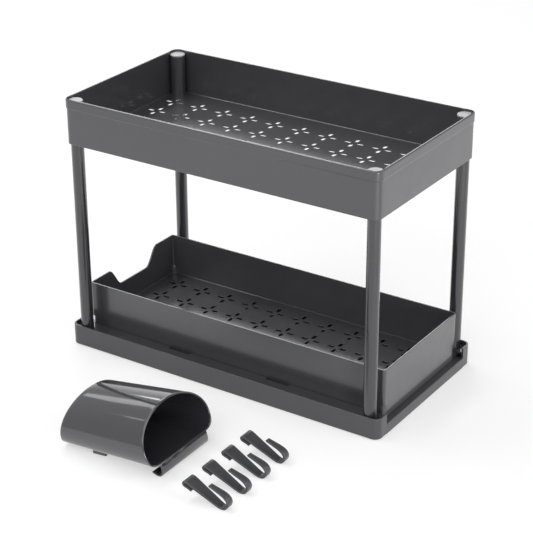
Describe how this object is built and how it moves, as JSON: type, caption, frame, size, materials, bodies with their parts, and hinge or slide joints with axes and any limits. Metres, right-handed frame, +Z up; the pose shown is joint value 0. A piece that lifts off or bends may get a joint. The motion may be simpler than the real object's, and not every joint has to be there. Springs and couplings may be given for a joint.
{
  "type": "two-tier pull-out organizer",
  "caption": "Rectangular storage stand: a perforated top tray on round posts over a base with a perforated sliding drawer, with a hanging cup and clip-on hooks beside it.",
  "frame": {"origin": "on the floor, at the centre of the base tray's footprint (the centre foot's underside)", "axes": "+Z up, +X along the organizer's long side away from the drawer's scooped end, -Y towards the front where the cup and hooks lie"},
  "size_m": [0.402, 0.3976, 0.296],
  "materials": {
    "tray_gloss": "glossy charcoal moulded plastic",
    "post_gloss": "glossy charcoal plastic tube",
    "cup_gloss": "high-gloss charcoal moulded plastic",
    "hook_satin": "satin charcoal moulded plastic",
    "cap_grey": "satin light grey plastic",
    "pad_rubber": "matt black"
  },
  "bodies": {
    "stand": {"base_tray": "tray_gloss", "top_tray": "tray_gloss", "post_front_left": "post_gloss", "post_front_right": "post_gloss", "post_rear_left": "post_gloss", "post_rear_right": "post_gloss", "cap_front_left": "cap_grey", "cap_front_right": "cap_grey", "cap_rear_left": "cap_grey", "cap_rear_right": "cap_grey", "pad_front_left": "pad_rubber", "pad_front_right": "pad_rubber", "pad_rear_left": "pad_rubber", "pad_rear_right": "pad_rubber"},
    "drawer": {"drawer": "tray_gloss"},
    "cup": {"hanging_cup": "cup_gloss"},
    "hook_1": {"clip_hook_1": "hook_satin"},
    "hook_2": {"clip_hook_2": "hook_satin"},
    "hook_3": {"clip_hook_3": "hook_satin"},
    "hook_4": {"clip_hook_4": "hook_satin"}
  },
  "joints": [
    {"name": "drawer_slide", "type": "slide", "parent": "stand", "child": "drawer", "axis": [-1, 0, 0], "range_m": [0, 0.24]},
    {"name": "cup_lift", "type": "slide", "parent": "stand", "child": "cup", "axis": [0, 0, 1], "range_m": [0, 0.08]},
    {"name": "hook_1_lift", "type": "slide", "parent": "stand", "child": "hook_1", "axis": [0, 0, 1], "range_m": [0, 0.08]},
    {"name": "hook_2_lift", "type": "slide", "parent": "stand", "child": "hook_2", "axis": [0, 0, 1], "range_m": [0, 0.08]},
    {"name": "hook_3_lift", "type": "slide", "parent": "stand", "child": "hook_3", "axis": [0, 0, 1], "range_m": [0, 0.08]},
    {"name": "hook_4_lift", "type": "slide", "parent": "stand", "child": "hook_4", "axis": [0, 0, 1], "range_m": [0, 0.08]}
  ]
}
